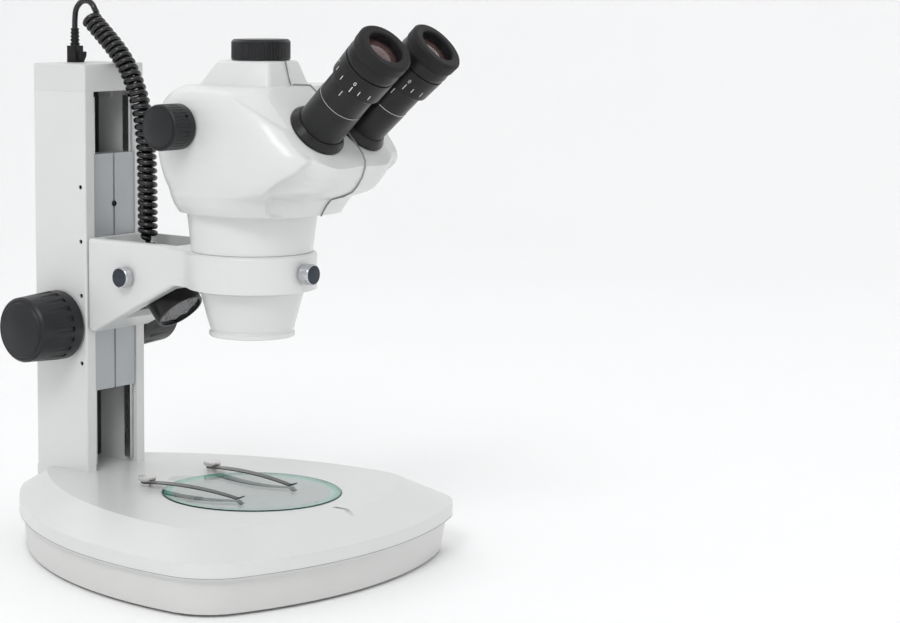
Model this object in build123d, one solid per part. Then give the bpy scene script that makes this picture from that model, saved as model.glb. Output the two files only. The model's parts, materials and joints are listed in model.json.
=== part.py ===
from build123d import *
import math
import os

# Stereo microscope on a track stand. Millimetres, +Z up, front towards -Y.
# The sizes below are taken from the optical axis; stand_shift moves the whole
# instrument along Y so that its box is centred on the origin.
stand_shift = -25.586

# base
base_front = -111.4
base_half = 142.7
base_rear = 198.5
base_widest_y = -24.0
base_side_radius = 270.0
base_corner_y = -77.4
base_tail_y = 191.0
base_top = 51.8
lip_low = 27.0
lip_high = 37.0
seam_z = 25.0
shell_floor = 2.0
shell_wall = 3.5
lip_overhang = 4.0
lower_taper = 3.0
plateau_inset = 28.0
foot_radius = 11.0

# stage
plate_radius = 62.5
plate_thick = 6.0
plate_proud = 0.7
plate_gap = 0.4
well_radius = 55.0
well_floor_z = 31.0
diffuser_radius = 48.0
diffuser_thick = 3.0
clip_x = 34.5
clip_y = 67.5
clip_tip_x = 28.0
clip_tip_y = -16.0

# column
column_half = 30.4
column_front = 130.2
column_depth = 51.8
column_top = 326.0
cap_height = 19.5
slot_half = 21.4
column_back_wall = 4.0
rail_thick = 4.0
rail_width = 6.0
rail_front = 133.0
sliding_gap = 0.05
gib_heights = (131.3, 180.4, 219.4, 258.4)

# focus drive
gear_module = 0.8
pinion_teeth = 18
pinion_z = 158.1
pinion_width = 10.0
shaft_radius = 4.0
running_gap = 0.06
knob_radius = 25.0
knob_length = 39.5
carriage_low = 110.5
carriage_high = 281.5
carriage_front = 131.2
carriage_back = 146.0
rack_half = 4.0

# arm and its ring
arm_half = 30.0
arm_top = 222.5
arm_foot = 152.5
arm_gap = 0.8
ring_low = 195.5
ring_high = 221.0
ring_outer = 44.7
ring_bore = 38.1
pocket_half = 24.0
pocket_front = 52.0
pocket_back = 122.0

# lamp under the arm
lamp_pivot_y = 90.0
lamp_pivot_z = 198.0
lamp_tilt = 42.0
lamp_radius = 18.0
lamp_reach = 35.0
lamp_length = 26.0

# head
head_bottom = 248.5
head_wall = 3.5
head_half = 63.5
barrel_low = 162.4
lens_thread = 24.0
neck_top = 351.0
port_y = -7.5
port_radius = 17.0
port_cap_radius = 20.1
port_cap_height = 13.8
zoom_y = 9.0
zoom_z = 308.4
zoom_knob_radius = 15.4
zoom_knob_length = 20.0
zoom_shaft_radius = 3.0

# eye tubes: the middle of the right-hand seat, and how the tube leans
seat_x = 22.1
seat_y = -74.1
seat_z = 306.6
tube_rise = 42.5
tube_splay = 5.3
pupil_arm = 26.0
pupil_in = 2.5
pupil_out = 20.5
tube_radius = 16.5
eyepiece_radius = 15.0
cup_radius = 19.4
stub_radius = 9.5

# cord between the column and the arm
cord_radius = 2.0
coil_radius = 6.7
plug_y = 169.5
cord_end_y = 98.0
grommet_z = 215.0
coil_end_z = 228.0

pitch_radius = gear_module * pinion_teeth / 2
pinion_y = carriage_back + 2.1 + pitch_radius
column_back = column_front + column_depth
plate_top = base_top + plate_proud
plate_low = plate_top - plate_thick


def bar(x0, x1, y0, y1, z0, z1):
    size = (x1 - x0, y1 - y0, z1 - z0)
    return Pos((x0 + x1) / 2, (y0 + y1) / 2, (z0 + z1) / 2) * Box(*size)


def rod(radius, x, y, z0, z1):
    return Pos(x, y, (z0 + z1) / 2) * Cylinder(radius, z1 - z0)


def rod_x(radius, y, z, x0, x1):
    return Pos((x0 + x1) / 2, y, z) * Rot(0, 90, 0) * Cylinder(radius, x1 - x0)


def rod_y(radius, x, z, y0, y1):
    return Pos(x, (y0 + y1) / 2, z) * Rot(90, 0, 0) * Cylinder(radius, y1 - y0)


def rounded(corners):
    """A closed face through (a, b, radius) corners, each corner an arc."""
    edges = []
    ends = []
    count = len(corners)
    for i in range(count):
        ax, ay, _ = corners[i - 1]
        bx, by, radius = corners[i]
        cx, cy, _ = corners[(i + 1) % count]
        here = Vector(bx, by)
        back = (Vector(ax, ay) - here).normalized()
        ahead = (Vector(cx, cy) - here).normalized()
        if radius == 0:
            ends.append((here, here, None))
            continue
        half = math.radians(back.get_angle(ahead)) / 2
        reach = radius / math.tan(half)
        middle = (back + ahead).normalized() * (radius / math.sin(half) - radius)
        ends.append((here + back * reach, here + ahead * reach, here + middle))
    for i in range(count):
        start, stop, middle = ends[i]
        if middle is not None:
            edges.append(ThreePointArc(start, middle, stop))
        edges.append(Line(stop, ends[(i + 1) % count][0]))
    return make_face(edges)


def turned(corners):
    """A solid of revolution about Z from (radius, height) corners."""
    profile = Plane.XZ * make_face(Polyline(*corners, close=True))
    return revolve(profile, Axis.Z)


def along_x(face, half):
    """A face drawn as (y, z), extruded to both sides of x = 0."""
    return extrude(Plane.YZ * face, half, both=True)


def base_outline(inset, side_inset, corner):
    """The plan of the base: a bowed front, two bowed sides and a short tail."""
    widest = base_half - side_inset
    front = base_front + inset
    rear = base_rear - inset
    tail_y = base_tail_y - inset
    corner_y = base_corner_y + inset
    centre = widest - base_side_radius

    def side_x(y):
        return centre + math.sqrt(base_side_radius ** 2 - (y - base_widest_y) ** 2)

    corner_x = side_x(corner_y)
    tail_x = side_x(tail_y)
    edges = [
        ThreePointArc((-corner_x, corner_y), (0, front), (corner_x, corner_y)),
        ThreePointArc((corner_x, corner_y), (widest, base_widest_y), (tail_x, tail_y)),
        ThreePointArc((tail_x, tail_y), (0, rear), (-tail_x, tail_y)),
        ThreePointArc((-tail_x, tail_y), (-widest, base_widest_y), (-corner_x, corner_y)),
    ]
    face = make_face(edges)
    front_pair = face.vertices().filter_by(lambda v: v.Y < 0)
    face = fillet(front_pair, corner)
    tail_pair = face.vertices().filter_by(lambda v: v.Y > 0.9 * tail_y)
    return fillet(tail_pair, 22.0)


def base_block(skin):
    """The upper shell's outer shape, or its hollow when skin is its wall."""
    rim = extrude(Pos(0, 0, lip_low - 2) * base_outline(2 + skin, 2 + skin, 44 - skin), 2)
    lip = extrude(Pos(0, 0, lip_low) * base_outline(skin, skin, 46 - skin), lip_high - lip_low)
    low = Pos(0, 0, lip_high) * base_outline(skin, skin, 46 - skin)
    high = Pos(0, 0, base_top - skin) * base_outline(plateau_inset + skin, plateau_inset + skin, 36)
    return rim + lip + loft([low, high], ruled=True)


def base_upper_shell():
    outer = base_block(0)
    shell = outer - base_block(shell_wall)
    well = rod(plate_radius + 4.5, 0, 0, lip_low, base_top)
    shell = shell + well
    shell = shell - rod(plate_radius + plate_gap, 0, 0, plate_low, base_top + 1)
    shell = shell - rod(well_radius, 0, 0, well_floor_z, plate_low + 1)
    shell = shell - rod(diffuser_radius - 8, 0, 0, lip_low - 1, well_floor_z + 1)
    notch = Pos(0, plate_radius + 1.5, base_top + 8.5) * Sphere(14)
    shell = shell - notch
    shell = shell + bar(-column_half, column_half, column_front, column_back, base_top - 9, base_top)
    for x, y in clip_places():
        shell = shell + rod(5, x, y, base_top - 12, base_top - 1)
        shell = shell - rod(2.6, x, y, base_top - 10, base_top + 1)
    # the plate's lock screw lies in the wall of the well, behind a driver groove
    lock_z = plate_top - plate_thick / 2
    shell = shell + bar(-5, 5, -72.9, -64, base_top - 12, base_top - 0.5)
    shell = shell - rod_y(1.6, 0, lock_z, -75, -62)
    shell = shell - rod_y(2.4, 0, lock_z + 0.8, -100, -72.9)
    for x, y in base_screw_places():
        shell = shell + (rod(6, x, y, seam_z, base_top) & outer)
        shell = shell - rod(1.7, x, y, seam_z - 1, seam_z + 11.5)
    for angle in (90, 210, 330):
        x, y = diffuser_screw_place(angle)
        shell = shell - rod(1.3, x, y, well_floor_z - 3, well_floor_z + 1)
    return shell


def clip_places():
    return ((-clip_x, clip_y), (clip_x, clip_y))


def base_screw_places():
    return ((-96, -60), (96, -60), (-108, 20), (108, 20), (-62, 128), (62, 128))


def foot_places():
    return ((-100, -40), (100, -40), (-46, 152), (46, 152))


def diffuser_screw_place(angle):
    reach = diffuser_radius + 2.5
    return reach * math.cos(math.radians(angle)), reach * math.sin(math.radians(angle))


def base_lower_shell():
    top = Pos(0, 0, seam_z) * base_outline(lip_overhang, lip_overhang, 42)
    bottom_inset = lip_overhang + lower_taper
    bottom = Pos(0, 0, shell_floor) * base_outline(bottom_inset, bottom_inset, 40)
    outer = loft([bottom, top], ruled=True)
    wall = shell_wall
    top_in = Pos(0, 0, seam_z + 1) * base_outline(lip_overhang + wall, lip_overhang + wall, 39)
    bottom_in = Pos(0, 0, shell_floor + 3) * base_outline(bottom_inset + wall, bottom_inset + wall, 37)
    shell = outer - loft([bottom_in, top_in], ruled=True)
    for x, y in base_screw_places():
        shell = shell + rod(6, x, y, shell_floor, seam_z)
        shell = shell - rod(2.2, x, y, 0, seam_z + 1)
        shell = shell - rod(4.2, x, y, 0, shell_floor + 4)
    for x, y in foot_places():
        shell = shell - rod(3.1, x, y, 0, shell_floor + 4)
    for angle in (30, 150, 270):
        x = 30 * math.cos(math.radians(angle))
        y = 30 * math.sin(math.radians(angle))
        shell = shell + rod(3.5, x, y, shell_floor + 2, 20)
    for i in range(7):
        shell = shell - bar(-30, 30, 70 + 8 * i, 73 + 8 * i, 0, shell_floor + 5)
    return shell


def rubber_feet():
    feet = []
    for x, y in foot_places():
        feet.append(rod(foot_radius, x, y, 0, shell_floor) + rod(3.0, x, y, shell_floor, shell_floor + 4)
                    + rod(4.6, x, y, shell_floor + 3, shell_floor + 5))
    return feet


def base_screws():
    return [rod(3.6, x, y, 3.0, 6.0) + rod(1.6, x, y, 6.0, seam_z + 11) for x, y in base_screw_places()]


def stage_plate():
    plate = rod(plate_radius, 0, 0, plate_low, plate_top)
    return chamfer(plate.edges(), 0.5)


def diffuser_disc():
    return rod(diffuser_radius, 0, 0, well_floor_z, well_floor_z + diffuser_thick)


def diffuser_screws():
    top = well_floor_z + diffuser_thick
    screws = []
    for angle in (90, 210, 330):
        x, y = diffuser_screw_place(angle)
        screws.append(rod(3.2, x, y, top, top + 1.6) + rod(1.25, x, y, well_floor_z - 3, top)
                      - rod(1.0, x, y, top + 0.8, top + 2))
    return screws


def plate_lock_screw():
    lock_z = plate_top - plate_thick / 2
    screw = rod_y(1.5, 0, lock_z, -71.5, -plate_radius - 0.3)
    return screw - rod_y(0.75, 0, lock_z, -72, -69.5)


def base_led_board():
    board = rod(38, 0, 0, 20, 21.6) - rod(5, 0, 0, 19, 22)
    for i in range(12):
        angle = math.radians(30 * i)
        board = board + rod(2.5, 24 * math.cos(angle), 24 * math.sin(angle), 21.6, 26)
    return board


def clip_screws():
    """Knurled thumb screws whose necks carry the two leaf springs."""
    screws = []
    for x, y in clip_places():
        neck = rod(2.5, x, y, base_top - 9.5, base_top) + rod(3.8, x, y, base_top, base_top + 2.2)
        neck = neck + rod(2.4, x, y, base_top + 2.2, base_top + 4.4)
        head = rod(6.2, x, y, base_top + 4.3, base_top + 7.1)
        head = head - Pos(x, y, base_top + 5.7) * PolarLocations(6.35, 30) * Cylinder(0.3, 4)
        screws.append(neck + head)
    return screws


def stage_clip(side):
    """A leaf spring from its screw to a turned-up tip on the plate."""
    x0 = side * clip_x
    x1 = side * clip_tip_x
    length = math.hypot(x1 - x0, clip_tip_y - clip_y)
    rest = base_top + 2.3
    tip = plate_top + 0.35
    thick = 0.7
    top = [
        ThreePointArc((0, rest), (length * 0.5, rest + 1.8), (length - 4, tip)),
        Line((length - 4, tip), (length, tip + 2)),
        Line((length, tip + 2), (length - 0.5, tip + 2.6)),
        Line((length - 0.5, tip + 2.6), (length - 4.2, tip + thick)),
        ThreePointArc((length - 4.2, tip + thick), (length * 0.5, rest + 1.8 + thick), (0, rest + thick)),
        Line((0, rest + thick), (0, rest)),
    ]
    blade = extrude(Plane.XZ * make_face(top), 5, both=True)
    outline = make_face(Polyline((0, 4.5), (8, 4.5), (length, 2.3), (length, -2.3), (8, -4.5), (0, -4.5),
                                 close=True))
    blade = blade & extrude(outline, 100)
    eye = rod(4.5, 0, 0, rest, rest + thick)
    leaf = blade + eye - rod(2.5, 0, 0, rest - 2, rest + 3)
    heading = math.degrees(math.atan2(clip_tip_y - clip_y, x1 - x0))
    return Pos(x0, clip_y, 0) * Rot(0, 0, heading) * leaf


def column():
    body = bar(-column_half, column_half, column_front, column_back, base_top, column_top)
    body = fillet(body.edges().filter_by(Axis.Z), 1.5)
    body = body - bar(-slot_half, slot_half, column_front - 1, column_back - column_back_wall,
                      base_top - 1, column_top + 1)
    body = body - rod_x(7.0, pinion_y, pinion_z, -column_half - 1, column_half + 1)
    for z in gib_heights:
        body = body - rod_x(1.6, rail_front + rail_width / 2 - 0.8, z, -column_half - 1, -slot_half + 1)
    body = body - bar(-5.8, 5.8, column_back - 6, column_back + 1, 102, 118)
    body = body - rod_y(3.1, 0, 86, column_back - 6, column_back + 1)
    body = body - rod_y(6.0, 0, 66, column_back - 6, column_back + 1)
    return body


def column_cap():
    cap = bar(-column_half, column_half, column_front, column_back, column_top, column_top + cap_height)
    cap = fillet(cap.edges().filter_by(Axis.Z), 1.5)
    cap = fillet(cap.faces().sort_by(Axis.Z)[-1].edges(), 0.8)
    inside = column_front + 3
    cap = cap - bar(-column_half + 3, column_half - 3, inside, column_back - 3,
                    column_top - 1, column_top + cap_height - 3)
    for side in (-1, 1):
        lug_x = side * (slot_half - 1.2)
        cap = cap + bar(lug_x - 1.1, lug_x + 1.1, column_front + 22, column_front + 35, column_top - 6,
                        column_top + cap_height - 2)
    return cap - bar(-5.1, 5.1, plug_y - 4.1, plug_y + 4.1,
                     column_top + cap_height - 4, column_top + cap_height + 1)


def guide_rails():
    rails = []
    for side in (-1, 1):
        inner = side * (slot_half - rail_thick)
        outer = side * slot_half
        rails.append(bar(min(inner, outer), max(inner, outer), rail_front, rail_front + rail_width,
                         base_top + 4, column_top - 4))
    return rails


def gib_screws():
    y = rail_front + rail_width / 2 - 0.8
    screws = []
    for z in gib_heights:
        screw = rod_x(1.5, y, z, -column_half + 0.8, -slot_half)
        screws.append(screw - rod_x(0.8, y, z, -column_half, -column_half + 3))
    return screws


def wiring_cover():
    return bar(-slot_half, slot_half, 167, 168.5, base_top + 2, column_top - 2)


def pinion_bushes():
    bushes = []
    for side in (-1, 1):
        inner = side * (slot_half - 1.5)
        outer = side * column_half
        bush = rod_x(7.0, pinion_y, pinion_z, min(inner, outer), max(inner, outer))
        bushes.append(bush - rod_x(shaft_radius + running_gap, pinion_y, pinion_z, -40, 40))
    return bushes


def tooth_flank(base_radius, outer_radius, steps):
    """Points of an involute from the base circle to the outer circle."""
    points = []
    last = math.sqrt((outer_radius / base_radius) ** 2 - 1)
    for i in range(steps + 1):
        roll = last * i / steps
        x = base_radius * (math.cos(roll) + roll * math.sin(roll))
        y = base_radius * (math.sin(roll) - roll * math.cos(roll))
        points.append((math.hypot(x, y), math.atan2(y, x)))
    return points


def pinion_gear():
    """Involute teeth, thinned a little for backlash, one tooth space facing the rack's tooth."""
    pressure = math.radians(20)
    base_radius = pitch_radius * math.cos(pressure)
    root = pitch_radius - 1.2 * gear_module
    tip = pitch_radius + gear_module
    flank = tooth_flank(base_radius, tip, 6)
    at_pitch = math.tan(pressure) - pressure
    half_tooth = math.pi / (2 * pinion_teeth) - 0.06 / pitch_radius
    points = []
    for i in range(pinion_teeth):
        middle = 2 * math.pi * i / pinion_teeth
        start = half_tooth + at_pitch
        points.append((root, middle - start))
        for radius, angle in flank:
            points.append((radius, middle - start + angle))
        for radius, angle in reversed(flank):
            points.append((radius, middle + start - angle))
        points.append((root, middle + start))
    outline = Polyline(*[(r * math.cos(a), r * math.sin(a)) for r, a in points], close=True)
    gear = extrude(make_face(outline), pinion_width / 2, both=True)
    # local X goes to -Y, so that a tooth points at the rack
    return Pos(0, pinion_y, pinion_z) * Plane((0, 0, 0), x_dir=(0, -1, 0), z_dir=(1, 0, 0)).location * gear


def pinion_shaft():
    reach = column_half + 36
    return pinion_gear() + rod_x(shaft_radius, pinion_y, pinion_z, -reach, reach)


def focus_rack():
    """A rack whose tooth space meets the pinion's tooth at rest."""
    pitch_y = pinion_y - pitch_radius
    root_y = pitch_y - 1.2 * gear_module
    tip_y = pitch_y + gear_module * 0.9
    low = carriage_low + 1.5
    high = 219.0
    pressure = math.tan(math.radians(20))
    pitch = math.pi * gear_module
    half = pitch / 4 - 0.05
    points = [(root_y, low)]
    first = math.ceil((low + 1 - pinion_z) / pitch - 0.5)
    last = math.floor((high - 1 - pinion_z) / pitch - 0.5)
    for i in range(first, last + 1):
        middle = pinion_z + (i + 0.5) * pitch
        at_root = half + (pitch_y - root_y) * pressure
        at_tip = half - (tip_y - pitch_y) * pressure
        points.append((root_y, middle - at_root))
        points.append((tip_y, middle - at_tip))
        points.append((tip_y, middle + at_tip))
        points.append((root_y, middle + at_root))
    points.append((root_y, high))
    points.append((carriage_back - 4.5, high))
    points.append((carriage_back - 4.5, low))
    return along_x(make_face(Polyline(*points, close=True)), rack_half)


def carriage():
    half = slot_half - 0.3
    groove = slot_half - rail_thick - 0.1
    plate = bar(-half, half, carriage_front, carriage_back, carriage_low, carriage_high)
    for side in (-1, 1):
        near = min(side * groove, side * 30)
        far = max(side * groove, side * 30)
        plate = plate - bar(near, far, rail_front - sliding_gap, rail_front + rail_width + sliding_gap,
                            carriage_low - 1, carriage_high + 1)
    plate = plate - bar(-rack_half - 0.1, rack_half + 0.1, carriage_back - 4.5, carriage_back + 1,
                        carriage_low + 1.4, 219.1)
    plate = plate - bar(-0.8, 0.8, carriage_front - 1, carriage_front + 1.2,
                        carriage_low - 1, carriage_high + 1)
    return plate


def focus_knob(side):
    """A hand wheel with shallow flutes, a turned end and a bore for the shaft."""
    inner = column_half + 1.2
    outer = inner + knob_length
    profile = [(0, inner), (knob_radius - 1.5, inner), (knob_radius, inner + 1.5), (knob_radius, inner + 7),
               (knob_radius - 1.8, outer - 1.5), (knob_radius - 3.3, outer), (knob_radius - 5, outer),
               (knob_radius - 6, outer + 1.2), (8, outer + 2.6), (0, outer + 3)]
    knob = turned(profile)
    ring = Pos(0, 0, (inner + outer) / 2 + 4) * PolarLocations(knob_radius + 1.2, 20)
    flute = ring * Cylinder(2.6, knob_length - 12)
    knob = knob - flute
    knob = knob - Pos(0, 0, column_half + 18) * Cylinder(shaft_radius, 36)
    knob = knob - Pos(0, 0, column_half + 36.1 / 2) * Cylinder(shaft_radius, 36.1)
    return Pos(0, pinion_y, pinion_z) * Rot(0, 90 * side, 0) * knob


def arm_side(skin):
    """The arm seen from the side: a deep root that narrows to the ring."""
    rear = column_front - arm_gap
    return rounded([(rear, arm_top, 2), (rear, arm_foot, 4), (ring_outer, ring_low, 0),
                    (-ring_outer - 1, ring_low, 0), (-ring_outer - 1, ring_high, 0), (46, ring_high, 8),
                    (58, arm_top, 8)])


def focus_arm():
    arm_end = column_front - arm_gap
    plan = Circle(ring_outer) + Pos(0, arm_end / 2) * Rectangle(2 * arm_half, arm_end)
    corners = plan.vertices().filter_by(lambda v: 20 < v.Y < 60)
    plan = fillet(corners, 24)
    block = extrude(plan, 300) & along_x(arm_side(0), 60)
    rear_edges = block.edges().filter_by(Axis.Z).filter_by(lambda e: e.center().Y > column_front - 5)
    block = fillet(rear_edges, 3)
    slope = (ring_low - arm_foot) / (column_front - arm_gap - ring_outer)

    def floor_z(y):
        return arm_foot + (column_front - arm_gap - y) * slope + 4.5

    cavity = rounded([(pocket_front, floor_z(pocket_front), 0), (pocket_front, arm_top + 5, 0),
                      (pocket_back, arm_top + 5, 0), (pocket_back, floor_z(pocket_back), 6)])
    pocket = along_x(cavity, pocket_half)
    pocket = fillet(pocket.edges().filter_by(Axis.Z), 8)
    arm = block - pocket
    arm = arm - bar(-lamp_radius - 2.5, lamp_radius + 2.5, pocket_front, pocket_front + 51,
                    arm_foot, arm_top)
    arm = arm - rod(ring_bore, 0, 0, ring_low - 1, ring_high + 1)
    arm = arm - rod_y(2.6, 0, (ring_low + ring_high) / 2, -ring_outer - 2, -ring_bore + 2)
    arm = arm - rod_x(2.5 + running_gap, lamp_pivot_y, lamp_pivot_z, -arm_half - 1, pocket_half + 3)
    arm = arm + bar(-19, 19, column_front - arm_gap - 0.5, carriage_front, 157, 219)
    ledge = bar(-7, 7, cord_end_y - 8, pocket_back + 1, grommet_z - 3, grommet_z)
    return arm + ledge - rod(5 + sliding_gap, 0, cord_end_y, grommet_z - 4, grommet_z + 1)


def cord_grommet():
    grommet = rod(5, 0, cord_end_y, grommet_z - 4, grommet_z + 4.5) \
        + rod(7, 0, cord_end_y, grommet_z, grommet_z + 2)
    return grommet + rod(cord_radius, 0, cord_end_y, grommet_z + 4.5, coil_end_z)


def head_clamp_screw():
    z = (ring_low + ring_high) / 2
    head = rod_y(7.25, 0, z, -54.6, -46.4)
    head = chamfer(head.edges(), 0.6)
    return head + rod_y(2.5, 0, z, -46.6, -ring_bore - 0.3) + rod_y(4.5, 0, z, -46.5, -45.1)


def lamp_clamp_screw():
    head = rod_x(7.4, lamp_pivot_y, lamp_pivot_z, -arm_half - 8.2, -arm_half - 1.6)
    head = chamfer(head.edges(), 0.6)
    return head + rod_x(2.5, lamp_pivot_y, lamp_pivot_z, -arm_half - 1.7, pocket_half + 2.8) \
        + rod_x(4.5, lamp_pivot_y, lamp_pivot_z, -arm_half - 1.7, -arm_half - 0.4)


def lamp_frame():
    """Local Z runs from the pivot to the lamp's mouth."""
    tilt = math.radians(lamp_tilt)
    aim = (0, -math.sin(tilt), -math.cos(tilt))
    return Plane((0, lamp_pivot_y, lamp_pivot_z), x_dir=(1, 0, 0), z_dir=aim).location


def lamp_housing():
    back = lamp_reach - lamp_length
    can = turned([(0, back), (lamp_radius - 3, back), (lamp_radius, back + 3), (lamp_radius, lamp_reach - 1),
                  (lamp_radius - 1, lamp_reach), (lamp_radius - 2, lamp_reach),
                  (lamp_radius - 2, lamp_reach - 9), (0, lamp_reach - 9)])
    ear = bar(-6, 6, -5.5, 5.5, 0, back + 1) + rod_x(5.5, 0, 0, -6, 6)
    ear = ear - rod_x(2.5 + running_gap, 0, 0, -8, 8)
    return lamp_frame() * (can + ear)


def lamp_led_board():
    board = rod(lamp_radius - 2.1, 0, 0, lamp_reach - 9, lamp_reach - 7.5)
    for i in range(8):
        angle = math.radians(45 * i + 22.5)
        board = board + rod(1.8, 10.5 * math.cos(angle), 10.5 * math.sin(angle),
                            lamp_reach - 7.5, lamp_reach - 4.6)
    return lamp_frame() * board


def lamp_window():
    return lamp_frame() * rod(lamp_radius - 2.1, 0, 0, lamp_reach - 3.2, lamp_reach - 1.8)


def head_side(skin):
    """The head seen from the side: a blunt nose below the sloping eye-tube seats."""
    top = 335.0
    return rounded([
        (46.5 - skin, head_bottom + skin, 3), (49 - skin, 276, 40), (49 - skin, 318, 20),
        (41 - skin, top - skin, 12),
        (-50 + skin / 2, top - skin, 6), (-88 + skin, 301, 8), (-97.4 + skin, 287, 9), (-94 + skin, 273.5, 9),
        (-81 + skin, 263.5 + skin, 8), (-68 + skin, 261 + skin, 5), (-60.8 + skin, head_bottom + skin, 3)])


def head_front(skin):
    """The head seen from the front: full shoulders, drawn in towards the barrel."""
    half = head_half - skin
    top = 335.5 - skin
    right = [(52.0 - skin, head_bottom + skin, 4), (60.5 - skin, 266, 40), (half, 292, 60),
             (half - 0.8, top, 13 - skin)]
    left = [(-x, z, radius) for x, z, radius in reversed(right)]
    return rounded(right + left)


def head_plan(skin):
    """The head seen from above: bowed front, full corners."""
    half = head_half - skin + 0.3
    return rounded([(half, 49.2 - skin, 30 - skin), (-half, 49.2 - skin, 30 - skin),
                    (-half, -89.5 + skin, 27 - skin), (-20, -97.6 + skin, 60),
                    (20, -97.6 + skin, 60), (half, -89.5 + skin, 27 - skin)])


def head_block(skin):
    block = extrude(Plane.XZ * head_front(skin), 130, both=True) & along_x(head_side(skin), 80)
    return block & extrude(Pos(0, 0, 200) * head_plan(skin), 200)


def neck_face(z, skin, grow):
    """An eight-sided face; grow runs from 0 at the neck's top to 1 at its foot."""
    front_half = 15 + 7 * grow - skin / 2
    front = -28.3 - 5.6 * grow + skin
    side = 22 + 8 * grow - skin
    side_front = -14 + 11 * grow
    side_back = 12 + 9 * grow
    back_half = 14 + 6 * grow - skin / 2
    back = 18 + 15 * grow - skin
    corners = [(front_half, front, 4), (side, side_front, 6), (side, side_back, 6), (back_half, back, 4)]
    mirrored = [(-x, y, radius) for x, y, radius in reversed(corners)]
    return Pos(0, 0, z) * rounded(corners + mirrored)


def neck_block(skin):
    return loft([neck_face(332.0, skin, 1), neck_face(neck_top - skin, skin, 0)], ruled=True)


def tube_axis(side):
    rise = math.radians(tube_rise)
    splay = math.radians(tube_splay)
    return Vector(side * math.cos(rise) * math.sin(splay), -math.cos(rise) * math.cos(splay), math.sin(rise))


def seat_plane(side):
    """Origin on the seat, local Z up the eye tube, local Y up the slope."""
    out = tube_axis(side)
    across = Vector(0, 0, 1).cross(out).normalized() * -1
    return Plane((side * seat_x, seat_y, seat_z), x_dir=across * -1, z_dir=out)


def pupil_sweep(side, radius, z0, z1):
    """The space that a round stub takes while its tube swings about the pupil pivot."""
    sweep = None
    steps = 12
    for i in range(steps + 1):
        turn = side * (-pupil_in + (pupil_in + pupil_out) * i / steps)
        angle = math.radians(turn)
        x = pupil_arm * math.sin(angle)
        y = pupil_arm - pupil_arm * math.cos(angle)
        stub = rod(radius, x, y, z0, z1)
        sweep = stub if sweep is None else sweep + stub
    return sweep


def head_housing(side):
    outer = head_block(0) + neck_block(0)
    inner = head_block(head_wall) + neck_block(head_wall)
    seat = seat_plane(side).location
    above = seat * bar(-120, 120, -120, 120, 0, 120)
    below_wall = seat * bar(-120, 120, -120, 120, -head_wall, 120)
    shell = (outer - above) - (inner - below_wall)
    half = bar(min(0, side * 90), max(0, side * 90), -130, 90, 200, 400)
    shell = shell & half
    boss = seat * (rod(8, 0, pupil_arm, -8, -head_wall + 0.2) - rod(4 + running_gap, 0, pupil_arm, -9, -4.6))
    shell = shell + (boss & half & outer)
    shell = shell - seat * rod(4 + running_gap, 0, pupil_arm, -9, -4.6)
    shell = shell - seat * pupil_sweep(side, stub_radius + 0.5, -12, 4)
    shell = shell - rod(36, 0, 0, head_bottom - 1, head_bottom + head_wall + 1)
    shell = shell - rod_x(4.5, zoom_y, zoom_z, -80, 80)
    return shell - rod(port_radius + 0.05, 0, port_y, neck_top - 8, neck_top + 1)


def objective_barrel():
    z = barrel_low
    sleeve = ring_bore - running_gap
    outer = [(lens_thread, z), (29.2, z), (29.6, z + 0.4), (29.6, z + 3), (28.4, z + 3.4), (28.4, z + 4.8),
             (29.0, z + 5.2), (35.8, ring_low - 2.5), (sleeve, ring_low - 0.5), (sleeve, ring_high + 0.1),
             (41.8, ring_high + 0.1), (45.0, head_bottom)]
    inner = [(33.0, head_bottom), (33.0, ring_low), (25.5, ring_low - 3), (25.5, z + 6),
             (lens_thread, z + 6)]
    return turned(outer + inner)


def objective_lens():
    z = barrel_low + 6
    return rod(25.3, 0, 0, z, z + 8) & Pos(0, 0, z + 8 - 120) * Sphere(120)


def optical_frame():
    """The chassis inside the head: a floor ring and two cheeks that carry the zoom shaft."""
    floor = head_bottom + head_wall
    frame = rod(39.5, 0, 0, floor, floor + 4) - rod(22, 0, 0, floor - 1, floor + 5)
    for side in (-1, 1):
        near = min(side * 30, side * 36)
        far = max(side * 30, side * 36)
        frame = frame + bar(near, far, -6, 18, floor, zoom_z + 9)
        frame = frame + rod(10, side * 13, -6, floor, floor + 30)
        frame = frame - rod(7.5, side * 13, -6, floor - 1, floor + 31)
    return frame - rod_x(zoom_shaft_radius + running_gap, zoom_y, zoom_z, -50, 50)


def photo_port():
    port = rod(port_radius, 0, port_y, neck_top - head_wall, neck_top + 11) \
        + rod(port_radius - 0.5, 0, port_y, neck_top - head_wall - 3, neck_top - head_wall)
    return port - rod(15, 0, port_y, neck_top - 10, neck_top + 12)


def port_cap():
    low = neck_top + 0.3
    top = low + port_cap_height
    cap = turned([(0, low), (port_cap_radius - 0.6, low), (port_cap_radius, low + 0.6),
                  (port_cap_radius, top - 1.5), (port_cap_radius - 1.5, top), (0, top)])
    cap = Pos(0, port_y, 0) * cap - rod(port_radius + 0.3, 0, port_y, low - 1, neck_top + 11.5)
    return cap - Pos(0, port_y, low + 6.5) * PolarLocations(port_cap_radius + 0.35, 60) * Cylinder(0.7, 10.4)


def zoom_shaft():
    shaft = rod_x(zoom_shaft_radius, zoom_y, zoom_z, -head_half - 14, head_half + 14)
    return shaft + rod_x(11, zoom_y, zoom_z, -8, -2) + rod_x(11, zoom_y, zoom_z, 2, 8)


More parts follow.
